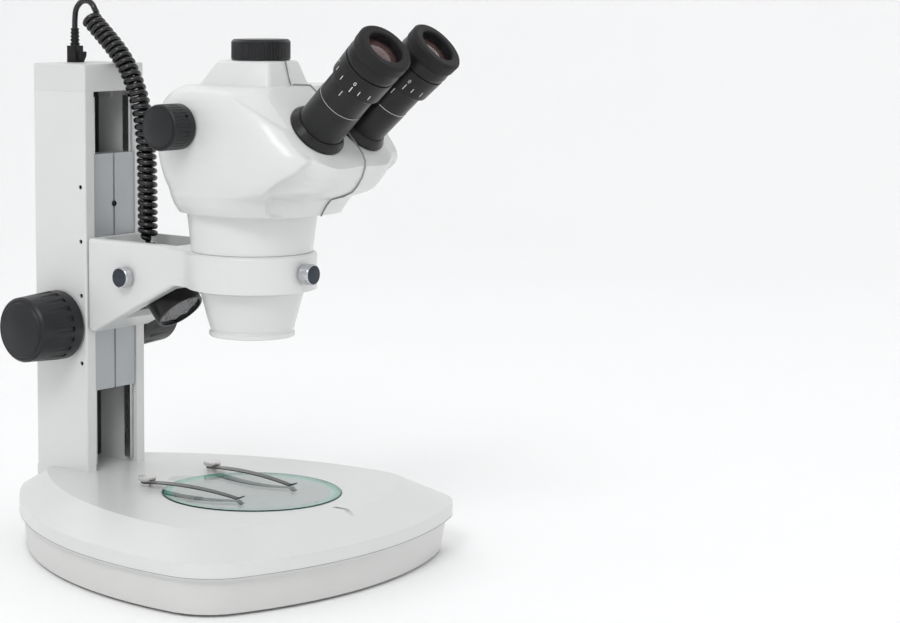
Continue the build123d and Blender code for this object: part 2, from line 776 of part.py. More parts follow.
def zoom_knob(side):
    inner = head_half + 0.9
    outer = inner + zoom_knob_length
    r = zoom_knob_radius
    knob = turned([(0, inner), (r - 0.5, inner), (r, inner + 0.5), (r, outer - 1), (r - 1, outer),
                   (r - 1.8, outer), (r - 2.4, outer + 0.8), (7, outer + 2.4), (0, outer + 2.8)])
    knob = knob - Pos(0, 0, inner + 12.5) * PolarLocations(r + 0.35, 36) * Cylinder(0.75, 12)
    bore = Cylinder(zoom_shaft_radius, head_half + 15 - inner)
    knob = knob - Pos(0, 0, (inner + head_half + 14) / 2 - 0.5) * bore
    knob = Pos(0, zoom_y, zoom_z) * Rot(0, 90 * side, 0) * knob
    if side < 0:
        knob = knob - Pos(-inner - 7, zoom_y, zoom_z) * Rot(60, 0, 0) * Pos(0, 0, 14) * Cylinder(1.1, 6)
    return knob


def prism_box(side):
    """The prism carrier that swings on its pin, with the light stub up to the eye tube."""
    box = bar(-14, 14, -15, pupil_arm + 7, -30, -12)
    box = fillet(box.edges().filter_by(Axis.Z), 5)
    box = box + rod(4, 0, pupil_arm, -12, -4.9) + rod(stub_radius, 0, 0, -12, 0.3)
    box = box - rod(stub_radius - 2, 0, 0, -24, 1)
    return seat_plane(side).location * box


def eye_tube(side):
    bore = eyepiece_radius + running_gap
    tube = turned([(stub_radius + 1, 0.3), (20.3, 0.3), (20.3, 1.8), (tube_radius + 0.7, 6.4),
                   (tube_radius, 6.4), (tube_radius, 31), (tube_radius - 0.35, 31.4),
                   (tube_radius - 0.35, 58), (bore, 58), (bore, 12), (stub_radius - 2, 8),
                   (stub_radius - 2, 0.3)])
    return seat_plane(side).location * tube


def dioptre_ring(side):
    inner = tube_radius + 0.3
    bore = eyepiece_radius + running_gap
    ring = turned([(inner, 48.6), (17.8, 48.6), (18.3, 49.2), (18.8, 65.4), (bore, 65.4), (bore, 62),
                   (inner, 61)])
    return seat_plane(side).location * ring


def eyepiece(side):
    r = eyepiece_radius
    body = turned([(13.2, 30), (r, 30), (r, 65.8), (18.4, 65.8), (18.9, 69), (18.4, 73.8), (15.2, 73.8),
                   (15.2, 80.2), (12.2, 80.2), (12.2, 76), (13.2, 74)])
    return seat_plane(side).location * body


def eyecup(side):
    r = cup_radius
    cup = turned([(15.3, 73.9), (r - 0.8, 73.9), (r - 0.2, 75), (r, 81.5), (r - 1.4, 83.1), (13.2, 83.1),
                  (12.6, 82.4), (12.6, 80.4), (15.3, 80.3)])
    return seat_plane(side).location * cup


def eye_lens(side):
    glass = rod(12.1, 0, 0, 72.4, 78.5) & Pos(0, 0, 78.5 - 38) * Sphere(38)
    return seat_plane(side).location * glass


def cord_socket():
    top = column_top + cap_height
    socket = bar(-5, 5, plug_y - 4, plug_y + 4, top - 12, top)
    return socket - bar(-3, 3, plug_y - 2, plug_y + 2, top - 8, top + 1)


def cord_plug():
    top = column_top + cap_height
    body = bar(-4.4, 4.4, plug_y - 4.6, plug_y + 4.6, top, top + 12)
    body = fillet(body.edges().filter_by(Axis.Z), 1.2)
    body = body + bar(-2.9, 2.9, plug_y - 1.9, plug_y + 1.9, top - 7.5, top)
    wing = rounded([(-4, 0.2, 0), (-6.5, 0.2, 0.5), (-9, 4.5, 1), (-9.4, 7.8, 0.8), (-7.8, 8, 0.5),
                    (-6.2, 5.5, 1), (-4, 6, 0)])
    latch = Pos(0, plug_y, top) * along_x(wing, 2.6)
    body = body + latch
    relief = rod(3.4, 0, plug_y, top + 12, top + 14.2)
    for i in range(4):
        relief = relief + rod(2.7, 0, plug_y, top + 14 + 2.6 * i, top + 16 + 2.6 * i)
        relief = relief + rod(3.3 - 0.1 * i, 0, plug_y, top + 15.4 + 2.6 * i, top + 16.8 + 2.6 * i)
    return body + relief


def cord_route():
    top = column_top + cap_height + 24.6
    return [(0, plug_y, top), (0, plug_y, top + 7), (0, plug_y - 1.4, top + 15), (0, plug_y - 8.5, top + 20.5),
            (0, plug_y - 17, top + 19), (0, plug_y - 21.5, top + 12), (0, plug_y - 19.0, top + 6.2)]


def coil_route():
    return [(0, 155, 378.5), (0, 136.5, 363.5), (0, 119, 347), (0, 107.5, 327), (0, 100.5, 304),
            (0, 98.5, 279), (0, cord_end_y, 253), (0, cord_end_y, coil_end_z)]


def corner_radii(points):
    """An arc at each inner point, as large as its two runs allow."""
    radii = []
    for before, here, after in zip(points, points[1:], points[2:]):
        back = Vector(here) - Vector(before)
        ahead = Vector(after) - Vector(here)
        half = math.radians(back.get_angle(ahead)) / 2
        radii.append(0.45 * min(back.length, ahead.length) / math.tan(half))
    return radii


def swept(points, radius):
    radii = corner_radii(points)
    path = FilletPolyline(*points, radius=radii)
    start = Plane(origin=points[0], z_dir=Vector(points[1]) - Vector(points[0]))
    tube = sweep(start * Circle(radius), path=path)
    print("radii", [round(r, 1) for r in radii], "length", round(path.length, 1),
          "volume ratio", round(tube.volume / (math.pi * radius ** 2 * path.length), 4))
    return tube


def power_inlet():
    body = rod_y(5.9, 0, 66, column_back - 10, column_back + 0.6)
    body = body - rod_y(3.2, 0, 66, column_back - 7, column_back + 1)
    return body + rod_y(1.0, 0, 66, column_back - 8, column_back)


def light_switch():
    profile = rounded([(-3, -7, 0.5), (-3, 7, 0.5), (2.6, 7.4, 1), (1.2, 0, 6), (2.6, -7.4, 1)])
    return Pos(0, column_back - 1, 110) * along_x(profile, 5.3)


def dimmer_dial():
    dial = rod_y(9, 0, 86, column_back + 0.5, column_back + 11)
    dial = dial - Pos(0, column_back + 6, 86) * Rot(90, 0, 0) * PolarLocations(9.2, 24) * Cylinder(0.6, 8)
    return dial + rod_y(3, 0, 86, column_back - 8, column_back + 1)


parts = {
    "base_upper_shell": base_upper_shell,
    "base_lower_shell": base_lower_shell,
    "rubber_feet": rubber_feet,
    "base_screws": base_screws,
    "stage_plate": stage_plate,
    "diffuser_disc": diffuser_disc,
    "diffuser_screws": diffuser_screws,
    "plate_lock_screw": plate_lock_screw,
    "base_led_board": base_led_board,
    "clip_screws": clip_screws,
    "column": column,
    "column_cap": column_cap,
    "guide_rails": guide_rails,
    "gib_screws": gib_screws,
    "wiring_cover": wiring_cover,
    "pinion_bushes": pinion_bushes,
    "pinion_shaft": pinion_shaft,
    "focus_rack": focus_rack,
    "carriage": carriage,
    "focus_arm": focus_arm,
    "cord_grommet": cord_grommet,
    "head_clamp_screw": head_clamp_screw,
    "lamp_clamp_screw": lamp_clamp_screw,
    "lamp_housing": lamp_housing,
    "lamp_led_board": lamp_led_board,
    "lamp_window": lamp_window,
    "objective_barrel": objective_barrel,
    "objective_lens": objective_lens,
    "optical_frame": optical_frame,
    "photo_port": photo_port,
    "port_cap": port_cap,
    "zoom_shaft": zoom_shaft,
    "cord_socket": cord_socket,
    "cord_plug": cord_plug,
    "power_inlet": power_inlet,
    "light_switch": light_switch,
    "dimmer_dial": dimmer_dial,
}
sided = {
    "stage_clip": stage_clip,
    "focus_knob": focus_knob,
    "head_housing": head_housing,
    "zoom_knob": zoom_knob,
    "prism_box": prism_box,
    "eye_tube": eye_tube,
    "dioptre_ring": dioptre_ring,
    "eyepiece": eyepiece,
    "eyecup": eyecup,
    "eye_lens": eye_lens,
}


def save(name, shape):
    if isinstance(shape, list):
        shape = Compound(shape)
    export_step(Pos(0, stand_shift, 0) * shape, "parts/" + name + ".step")


os.makedirs("parts", exist_ok=True)
for name, maker in parts.items():
    save(name, maker())
for name, maker in sided.items():
    save(name + "_left", maker(-1))
    save(name + "_right", maker(1))
save("cord_tube", swept(cord_route(), cord_radius))
save("cord_coil", swept(coil_route(), coil_radius))
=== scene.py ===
import json
import math

import bmesh
import bpy
from mathutils import Matrix, Vector


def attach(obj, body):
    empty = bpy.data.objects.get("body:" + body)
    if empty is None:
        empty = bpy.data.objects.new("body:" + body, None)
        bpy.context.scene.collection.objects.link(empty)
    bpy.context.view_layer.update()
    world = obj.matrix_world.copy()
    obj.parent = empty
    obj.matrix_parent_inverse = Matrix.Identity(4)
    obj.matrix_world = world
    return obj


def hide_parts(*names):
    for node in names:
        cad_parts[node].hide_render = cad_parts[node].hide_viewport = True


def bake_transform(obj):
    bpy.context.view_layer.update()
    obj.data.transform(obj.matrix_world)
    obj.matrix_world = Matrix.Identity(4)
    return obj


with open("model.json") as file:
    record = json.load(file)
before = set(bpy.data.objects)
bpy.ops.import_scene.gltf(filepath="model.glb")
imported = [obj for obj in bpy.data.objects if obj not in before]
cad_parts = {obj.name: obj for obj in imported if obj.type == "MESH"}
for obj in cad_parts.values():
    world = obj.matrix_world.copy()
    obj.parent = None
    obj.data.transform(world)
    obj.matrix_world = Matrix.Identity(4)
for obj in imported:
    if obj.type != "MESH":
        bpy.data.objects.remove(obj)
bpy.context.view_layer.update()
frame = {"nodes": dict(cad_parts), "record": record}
bodies = frame["record"]["behaviour"]["bodies"]
bodyOf = {node: body for body, nodes in bodies.items() for node in nodes}
opticY = -25.586  # mm from the middle of the box to the optical axis
toFrame = Matrix.Scale(0.001, 4) @ Matrix.Translation((0, opticY, 0))  # from mm about that axis
print("frame loaded,", len(frame["nodes"]), "nodes")

# camera and light
camera = {"azimuth": -48.84, "elevation": 7.99, "distance": 1586.8, "aside": -46.33, "height": 184.05,
          "behind": -40.37, "lens": 93.7, "shiftX": 0.2456, "shiftY": -0.003}


def placeCamera():
    az = math.radians(camera["azimuth"])
    el = math.radians(camera["elevation"])
    right = Vector((math.cos(az), math.sin(az), 0))
    ahead = Vector((-math.sin(az) * math.cos(el), math.cos(az) * math.cos(el), -math.sin(el)))
    up = right.cross(ahead)
    aim = right * camera["aside"] + Vector((0, camera["behind"] + opticY, camera["height"]))
    spot = (aim - ahead * camera["distance"]) * 0.001
    turn = Matrix((right, up, -ahead)).transposed().to_4x4()
    data = bpy.data.cameras.new("studioCamera")
    data.lens = camera["lens"]
    data.sensor_width = 36
    data.shift_x = camera["shiftX"]
    data.shift_y = camera["shiftY"]
    data.clip_start = 0.05
    data.clip_end = 30
    holder = bpy.data.objects.new("studioCamera", data)
    bpy.context.scene.collection.objects.link(holder)
    holder.matrix_world = Matrix.Translation(spot) @ turn
    bpy.context.scene.camera = holder


placeCamera()

lamps = {
    "keySoft": {"at": (-1.7, -0.7, 1.7), "size": 0.9, "power": 15},
    "fillSoft": {"at": (1.7, -1.2, 1.1), "size": 1.8, "power": 2},
    "rimSoft": {"at": (0.6, 1.6, 1.7), "size": 1.4, "power": 3},
}


def placeLight(name, at, size, power):
    data = bpy.data.lights.new(name, "AREA")
    data.shape = "DISK"
    data.size = size
    data.energy = power
    holder = bpy.data.objects.new(name, data)
    bpy.context.scene.collection.objects.link(holder)
    aim = Vector((0, 0, 0.2)) - Vector(at)
    holder.matrix_world = Matrix.Translation(at) @ aim.to_track_quat("-Z", "Y").to_matrix().to_4x4()


for name, spec in lamps.items():
    placeLight(name, **spec)

world = bpy.data.worlds.new("studioRoom")
world.use_nodes = True
room = {"colour": (0.985, 0.99, 1.0), "bright": 0.94, "dim": 0.2, "dimSide": (0.66, -0.75, 0.0)}
tree = world.node_tree
sky = tree.nodes["Background"]
sky.inputs["Color"].default_value = (*room["colour"], 1)
compass = tree.nodes.new("ShaderNodeTexCoord")
toward = tree.nodes.new("ShaderNodeVectorMath")
toward.operation = "DOT_PRODUCT"
toward.inputs[1].default_value = room["dimSide"]
shade = tree.nodes.new("ShaderNodeMapRange")
shade.interpolation_type = "SMOOTHSTEP"
shade.inputs["From Min"].default_value = 0.35
shade.inputs["From Max"].default_value = 0.95
shade.inputs["To Min"].default_value = room["bright"]
shade.inputs["To Max"].default_value = room["dim"]
tree.links.new(compass.outputs["Generated"], toward.inputs[0])
tree.links.new(toward.outputs["Value"], shade.inputs["Value"])
tree.links.new(shade.outputs["Result"], sky.inputs["Strength"])
bpy.context.scene.world = world
bpy.context.scene.view_settings.view_transform = "Standard"
print("camera and lights placed")


# finishes: colour, roughness and relief all come from noise on Object coordinates
def makeFinish(name, colour, rough=0.4, metal=0.0, tone=0.04, toneSize=30.0, grain=700.0, depth=0.03,
               spread=0.06, stretch=(1, 1, 1), coat=0.0, coatRough=0.08, through=0.0, ior=1.5, sheen=0.0,
               shine=0.5):
    mat = bpy.data.materials.new(name)
    mat.use_nodes = True
    mat.diffuse_color = (*colour, 1)
    tree = mat.node_tree
    shader = tree.nodes["Principled BSDF"]
    place = tree.nodes.new("ShaderNodeTexCoord")
    mapping = tree.nodes.new("ShaderNodeMapping")
    mapping.inputs["Scale"].default_value = stretch
    cloud = tree.nodes.new("ShaderNodeTexNoise")
    cloud.inputs["Scale"].default_value = toneSize
    cloud.inputs["Detail"].default_value = 4
    fine = tree.nodes.new("ShaderNodeTexNoise")
    fine.inputs["Scale"].default_value = grain
    fine.inputs["Detail"].default_value = 3
    ramp = tree.nodes.new("ShaderNodeValToRGB")
    ramp.color_ramp.elements[0].position = 0.3
    ramp.color_ramp.elements[0].color = (*[c * (1 - tone) for c in colour], 1)
    ramp.color_ramp.elements[1].position = 0.7
    ramp.color_ramp.elements[1].color = (*[min(1, c * (1 + tone)) for c in colour], 1)
    span = tree.nodes.new("ShaderNodeMapRange")
    span.inputs["To Min"].default_value = max(0.01, rough - spread)
    span.inputs["To Max"].default_value = rough + spread
    bump = tree.nodes.new("ShaderNodeBump")
    bump.inputs["Strength"].default_value = min(1, depth * 8)
    bump.inputs["Distance"].default_value = depth * 0.001
    link = tree.links.new
    link(place.outputs["Object"], mapping.inputs["Vector"])
    link(mapping.outputs["Vector"], cloud.inputs["Vector"])
    link(mapping.outputs["Vector"], fine.inputs["Vector"])
    link(cloud.outputs["Fac"], ramp.inputs["Fac"])
    link(ramp.outputs["Color"], shader.inputs["Base Color"])
    link(fine.outputs["Fac"], span.inputs["Value"])
    link(span.outputs["Result"], shader.inputs["Roughness"])
    link(fine.outputs["Fac"], bump.inputs["Height"])
    link(bump.outputs["Normal"], shader.inputs["Normal"])
    shader.inputs["Metallic"].default_value = metal
    shader.inputs["Coat Weight"].default_value = coat
    shader.inputs["Coat Roughness"].default_value = coatRough
    shader.inputs["Transmission Weight"].default_value = through
    shader.inputs["IOR"].default_value = ior
    shader.inputs["Sheen Weight"].default_value = sheen
    shader.inputs["Specular IOR Level"].default_value = shine
    return mat


def glazeRim(mat, edge):  # the plate is clear in its middle and greener towards its rim
    tree = mat.node_tree
    shader = tree.nodes["Principled BSDF"]
    clear = shader.inputs["Base Color"].links[0].from_socket
    place = next(n for n in tree.nodes if n.type == "TEX_COORD")
    centre = tree.nodes.new("ShaderNodeMapping")
    centre.inputs["Location"].default_value = (0, -opticY * 0.001, 0)
    centre.inputs["Scale"].default_value = (1, 1, 0)
    reach = tree.nodes.new("ShaderNodeVectorMath")
    reach.operation = "LENGTH"
    rim = tree.nodes.new("ShaderNodeMapRange")
    rim.inputs["From Min"].default_value = 0.0535
    rim.inputs["From Max"].default_value = 0.0600
    mix = tree.nodes.new("ShaderNodeMix")
    mix.data_type = "RGBA"
    mix.inputs["B"].default_value = (*edge, 1)
    tree.links.new(place.outputs["Object"], centre.inputs["Vector"])
    tree.links.new(centre.outputs["Vector"], reach.inputs[0])
    tree.links.new(reach.outputs["Value"], rim.inputs["Value"])
    tree.links.new(rim.outputs["Result"], mix.inputs["Factor"])
    tree.links.new(clear, mix.inputs["A"])
    tree.links.new(mix.outputs["Result"], shader.inputs["Base Color"])


finishes = {
    "white_enamel": makeFinish("stoveEnamel", (0.67, 0.675, 0.67), rough=0.33, tone=0.012, grain=420,
                               depth=0.02, coat=0.25, coatRough=0.18),
    "cream_enamel": makeFinish("warmEnamel", (0.63, 0.635, 0.62), rough=0.38, tone=0.015, grain=420,
                               depth=0.02, coat=0.15, coatRough=0.2),
    "white_plastic": makeFinish("capPlastic", (0.64, 0.645, 0.64), rough=0.45, tone=0.015, grain=900,
                                depth=0.03),
    "foot_rubber": makeFinish("footRubber", (0.015, 0.015, 0.015), shine=0.2, rough=0.8, tone=0.2,
                              grain=1500, depth=0.06),
    "zinc_steel": makeFinish("zincSteel", (0.6, 0.6, 0.58), rough=0.32, metal=1, tone=0.08, grain=1200),
    "plate_glass": makeFinish("plateGlass", (0.93, 0.985, 0.965), rough=0.03, spread=0.02, tone=0.01,
                              grain=60, depth=0.004, through=1.0, ior=1.5),
    "diffuser": makeFinish("frostedDisc", (0.36, 0.42, 0.44), rough=0.5, tone=0.03, grain=2200, depth=0.04,
                           coat=0.3),
    "black_steel": makeFinish("blackOxide", (0.010, 0.010, 0.010), shine=0.3, rough=0.35, metal=0.6,
                              tone=0.2, grain=1500),
    "circuit_board": makeFinish("solderMask", (0.55, 0.56, 0.54), rough=0.3, tone=0.1, toneSize=400,
                                grain=1800),
    "nickel_steel": makeFinish("nickelPlate", (0.62, 0.61, 0.59), rough=0.22, metal=1, tone=0.05,
                               grain=1600),
    "rail_steel": makeFinish("groundSteel", (0.55, 0.56, 0.57), rough=0.28, metal=1, tone=0.06, grain=500,
                             stretch=(1, 1, 0.04), depth=0.02),
    "grey_panel": makeFinish("greySheet", (0.035, 0.038, 0.040), shine=0.3, rough=0.42, tone=0.08,
                             grain=900, depth=0.03),
    "bush_brass": makeFinish("turnedBrass", (0.66, 0.5, 0.24), rough=0.3, metal=1, tone=0.08, grain=1200),
    "black_plastic": makeFinish("blackMoulding", (0.010, 0.010, 0.011), shine=0.25, rough=0.42, tone=0.15,
                                grain=1600, depth=0.04),
    "cord_jacket": makeFinish("cordJacket", (0.004, 0.004, 0.005), shine=0.4, rough=0.2, tone=0.2,
                              grain=800, depth=0.012, coat=0.4, coatRough=0.12),
    "knob_plastic": makeFinish("knobMoulding", (0.008, 0.0085, 0.010), shine=0.3, coat=0.2, coatRough=0.35,
                               rough=0.42, tone=0.12, grain=1500, depth=0.05),
    "carriage_grey": makeFinish("blastedAlloy", (0.40, 0.42, 0.43), rough=0.42, metal=0.55, tone=0.04,
                                grain=1800, depth=0.03),
    "chrome_screw": makeFinish("chromeScrew", (0.56, 0.57, 0.59), rough=0.14, metal=1, tone=0.03,
                               grain=900, spread=0.03, depth=0.008),
    "black_anodised": makeFinish("blackAnodised", (0.006, 0.006, 0.007), shine=0.28, rough=0.30, tone=0.15,
                                 grain=1300, depth=0.015, coat=0.15, coatRough=0.25),
    "dark_window": makeFinish("smokedWindow", (0.30, 0.31, 0.33), shine=0.2, rough=0.04, spread=0.02,
                              tone=0.05, through=0.97, depth=0.004),
    "coated_glass": makeFinish("coatedGlass", (0.16, 0.09, 0.085), rough=0.05, spread=0.02, tone=0.05,
                               through=0.4, ior=1.6, depth=0.003, coat=0.6, coatRough=0.03),
    "cast_frame": makeFinish("blackCasting", (0.05, 0.05, 0.05), rough=0.6, metal=0.4, tone=0.15,
                             grain=700, depth=0.08),
    "black_satin": makeFinish("satinBlack", (0.007, 0.007, 0.008), shine=0.25, rough=0.34, tone=0.15,
                              grain=1500, depth=0.02, coat=0.1, coatRough=0.3),
    "cup_rubber": makeFinish("cupRubber", (0.014, 0.014, 0.015), shine=0.2, rough=0.62, tone=0.12,
                             grain=1700, depth=0.05, sheen=0.04),
    "spring_steel": makeFinish("blackSpring", (0.05, 0.05, 0.05), rough=0.3, metal=0.85, tone=0.15,
                               grain=600, stretch=(1, 0.05, 1)),
}
glazeRim(finishes["plate_glass"], (0.30, 0.76, 0.62))
# painted shade: a mid grey that stands in for the shade inside the seams' gaps
paintedSeamShade = makeFinish("seamShadow", (0.26, 0.26, 0.26), rough=0.8, tone=0.1)
markPaint = makeFinish("markPaint", (0.72, 0.72, 0.70), rough=0.5, tone=0.05, grain=2500)
brightEdge = makeFinish("brightEdge", (0.62, 0.62, 0.62), rough=0.25, metal=1, tone=0.05, grain=1500)
slotOf = {part["node"]: part["material_slot"] for part in frame["record"]["subparts"]}
for node, holder in frame["nodes"].items():
    holder.data.materials.clear()
    holder.data.materials.append(finishes[slotOf[node]])
print("finishes made")


# shared steps for new pieces
def finishPiece(bm, name, body, mat, nodes=(), place=toFrame, corner=35):
    bmesh.ops.transform(bm, matrix=place, verts=bm.verts)
    for face in bm.faces:
        face.smooth = True
    for edge in bm.edges:
        edge.smooth = len(edge.link_faces) == 2 and edge.calc_face_angle(0) < math.radians(corner)
    data = bpy.data.meshes.new(name)
    bm.to_mesh(data)
    bm.free()
    data.materials.append(mat)
    piece = bpy.data.objects.new(name, data)
    bpy.context.scene.collection.objects.link(piece)
    if body:
        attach(piece, body)
    if nodes:
        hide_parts(*nodes)
    return piece


# turn a closed outline of (radius, height) about Z
def spinRing(bm, profile, steps=96, place=Matrix()):
    verts = [bm.verts.new((r, 0, z)) for r, z in profile]
    edges = [bm.edges.new((a, b)) for a, b in zip(verts, verts[1:] + verts[:1])]
    bmesh.ops.spin(bm, geom=verts + edges, cent=(0, 0, 0), axis=(0, 0, 1), angle=2 * math.pi, steps=steps,
                   use_merge=True, use_duplicate=False)
    ringVerts = set(verts)
    for edge in edges:
        for face in edge.link_faces:
            ringVerts.update(face.verts)
    grown = list(ringVerts)
    while grown:
        vert = grown.pop()
        for edge in vert.link_edges:
            other = edge.other_vert(vert)
            if other not in ringVerts:
                ringVerts.add(other)
                grown.append(other)
    bmesh.ops.transform(bm, matrix=place, verts=list(ringVerts))
    bmesh.ops.recalc_face_normals(bm, faces=bm.faces)


def addBlock(bm, size, place):
    bmesh.ops.create_cube(bm, size=1, matrix=place @ Matrix.Diagonal((*size, 1)))


# a copy of a CAD piece with its facets merged and its edges eased
def softCopy(node, name, edge=0.4, corner=30, segments=2):
    source = frame["nodes"][node]
    bm = bmesh.new()
    bm.from_mesh(source.data)
    bmesh.ops.remove_doubles(bm, verts=bm.verts, dist=0.000004)
    bmesh.ops.dissolve_limit(bm, angle_limit=math.radians(0.8), verts=bm.verts, edges=bm.edges,
                             use_dissolve_boundaries=False, delimit=set())
    sharp = [e for e in bm.edges if len(e.link_faces) == 2 and e.calc_face_angle(0) > math.radians(corner)]
    if edge and sharp:
        bmesh.ops.bevel(bm, geom=sharp, offset=edge * 0.001, offset_type="OFFSET", affect="EDGES",
                        segments=segments, profile=0.5, material=-1, clamp_overlap=True)
    piece = finishPiece(bm, name, bodyOf[node], finishes[slotOf[node]], [node], Matrix(), 50)
    even = piece.modifiers.new("evenShading", "WEIGHTED_NORMAL")
    even.keep_sharp = True
    return piece


# the lead: a short plain loop, then the curly run down to the arm
lead = {
    "radius": 2.15, "coilRadius": 5.2, "turns": 36, "perTurn": 22, "sides": 12,
    "loop": [(0, 169.5, 370.1), (0, 169.5, 377.1), (0, 168.1, 385.1), (0, 161.0, 390.4), (0, 152.5, 389.1),
             (0, 148.0, 382.1), (0, 150.5, 376.3)],
    "coil": [(0, 155, 378.5), (0, 136.5, 363.5), (0, 119, 347), (0, 107.5, 327), (0, 100.5, 304),
             (0, 98.5, 279), (0, 98, 253), (0, 98, 221.5)],
}


def routeLine(points, name):
    curve = bpy.data.curves.new(name, "CURVE")
    curve.dimensions = "3D"
    spline = curve.splines.new("NURBS")
    spline.points.add(len(points) - 1)
    for point, (x, y, z) in zip(spline.points, points):
        point.co = (x, y, z, 1)
    spline.order_u = 3
    spline.use_endpoint_u = True
    spline.resolution_u = 24
    holder = bpy.data.objects.new(name, curve)
    bpy.context.scene.collection.objects.link(holder)
    bpy.context.view_layer.update()
    mesh = bpy.data.meshes.new_from_object(holder)
    line = [v.co.copy() for v in mesh.vertices]
    bpy.data.objects.remove(holder)
    bpy.data.curves.remove(curve)
    bpy.data.meshes.remove(mesh)
    return line


# the same line with points an equal way apart
def evenly(line, count):
    steps = [(b - a).length for a, b in zip(line, line[1:])]
    total = sum(steps)
    out = []
    i = 0
    gone = 0.0
    for n in range(count + 1):
        want = total * n / count
        while i < len(steps) - 1 and gone + steps[i] < want:
            gone += steps[i]
            i += 1
        out.append(line[i].lerp(line[i + 1], min(1, (want - gone) / max(steps[i], 1e-9))))
    return out


def easeIn(t):
    t = max(0.0, min(1.0, t))
    return t * t * (3 - 2 * t)


def leadPath():
    loop = evenly(routeLine(lead["loop"], "loopRoute"), 60)[:-12]
    count = lead["turns"] * lead["perTurn"]
    middle = evenly(routeLine(lead["coil"], "coilRoute"), count)
    wound = []
    for i, point in enumerate(middle):
        ahead = (middle[min(i + 1, count)] - middle[max(i - 1, 0)]).normalized()
        side = Vector((1, 0, 0))
        up = ahead.cross(side).normalized()
        turn = 2 * math.pi * i / lead["perTurn"]
        reach = lead["coilRadius"] * (0.25 + 0.75 * easeIn((count - i) / (0.8 * lead["perTurn"])))
        wound.append(point + (side * math.sin(turn) + up * math.cos(turn)) * reach)
    skip = lead["perTurn"] // 4
    wound = wound[skip:]
    start, stop = loop[-1], wound[0]
    leave = (loop[-1] - loop[-2]).normalized() * 5
    meet = (wound[1] - wound[0]).normalized() * 5
    bridge = []
    for i in range(1, 10):
        t = i / 10
        bridge.append(start * (1 - t) ** 3 + (start + leave) * 3 * t * (1 - t) ** 2
                      + (stop - meet) * 3 * t * t * (1 - t) + stop * t ** 3)
    return [toFrame @ p for p in loop + bridge + wound]


# a closed round tube on a line of points
def tubeAlong(path, radius, sides):
    bm = bmesh.new()
    rings = []
    across = Vector((1, 0, 0))
    for i, point in enumerate(path):
        ahead = (path[min(i + 1, len(path) - 1)] - path[max(i - 1, 0)]).normalized()
        across = (across - ahead * across.dot(ahead)).normalized()
        frameTurn = Matrix((across, ahead.cross(across), ahead)).transposed().to_4x4()
        made = bmesh.ops.create_circle(bm, cap_ends=i in (0, len(path) - 1), segments=sides, radius=radius,
                                       matrix=Matrix.Translation(point) @ frameTurn)
        rings.append(made["verts"])
    for low, high in zip(rings, rings[1:]):
        for k in range(sides):
            bm.faces.new((low[k], low[(k + 1) % sides], high[(k + 1) % sides], high[k]))
    bmesh.ops.recalc_face_normals(bm, faces=bm.faces)
    return bm


leadLine = leadPath()
leadLength = sum((b - a).length for a, b in zip(leadLine, leadLine[1:]))
print("lead length", round(leadLength, 4))
curlyLead = finishPiece(tubeAlong(leadLine, lead["radius"] * 0.001, lead["sides"]), "curlyLead", None,
                        finishes["cord_jacket"], ["cord_tube", "cord_coil"], Matrix(), 80)
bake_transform(curlyLead)
print("lead wound")

# head: one block drawn out to the nose and drawn in to the barrel, with a raised cheek on each side
head = {
    "low": 248.5, "top": 334.6, "cuts": 88, "step": 3.2,
    "corner": [(250, 2.7), (262, 2.9), (280, 3.9), (300, 4.4)],
    "half": [(248.5, 51.0), (254, 54.6), (262, 58.6), (272, 61.4), (285, 63.2), (300, 63.5), (312, 62.9),
             (320, 61.4), (326, 58.9), (331, 54.8), (334.6, 48.5)],
    "front": [(248.5, -60.0), (251.5, -61.6), (256, -64.6), (260.5, -68.8), (263.4, -79.5), (266.5, -86.5),
              (270.8, -90.6), (276.7, -94.6), (282.7, -96.7), (287.2, -96.8), (291.8, -94.6), (296.6, -90.4),
              (301, -86.2), (306, -81.5), (318, -69.5), (326, -61.5), (334.6, -51)],
    "back": [(248.5, 43.5), (254, 45.6), (270, 47.6), (290, 48.6), (308, 47.6), (318, 45.4), (325, 42.0),
             (331, 37.0), (334.6, 31.0)],
    "cheek": [(30, 333), (0, 331.5), (-17, 330.3), (-34, 326.3), (-51, 318.8), (-67, 309.5), (-80, 301.6),
              (-86, 295.5), (-87, 288.5), (-81.5, 281.5), (-69, 274.3), (-57.5, 266.5), (-50.5, 259.5),
              (-46, 248)],
}


def along(table, z):
    if z <= table[0][0]:
        return table[0][1]
    for (za, a), (zb, b) in zip(table, table[1:]):
        if z <= zb:
            return a + (b - a) * (z - za) / (zb - za)
    return table[-1][1]


# how far a point of the side lies ahead of the cheek's edge, below zero when it is on the cheek
def outsideCheek(y, z):
    best = 1e9
    inside = False
    loop = head["cheek"] + [(80, 240), (80, 333)]
    for i, (ya, za) in enumerate(loop):
        yb, zb = loop[(i + 1) % len(loop)]
        if (za > z) != (zb > z) and y < ya + (yb - ya) * (z - za) / (zb - za):
            inside = not inside
        if i < len(head["cheek"]) - 1:
            dy, dz = yb - ya, zb - za
            t = max(0, min(1, ((y - ya) * dy + (z - za) * dz) / (dy * dy + dz * dz)))
            best = min(best, math.hypot(y - ya - t * dy, z - za - t * dz))
    return -best if inside else best


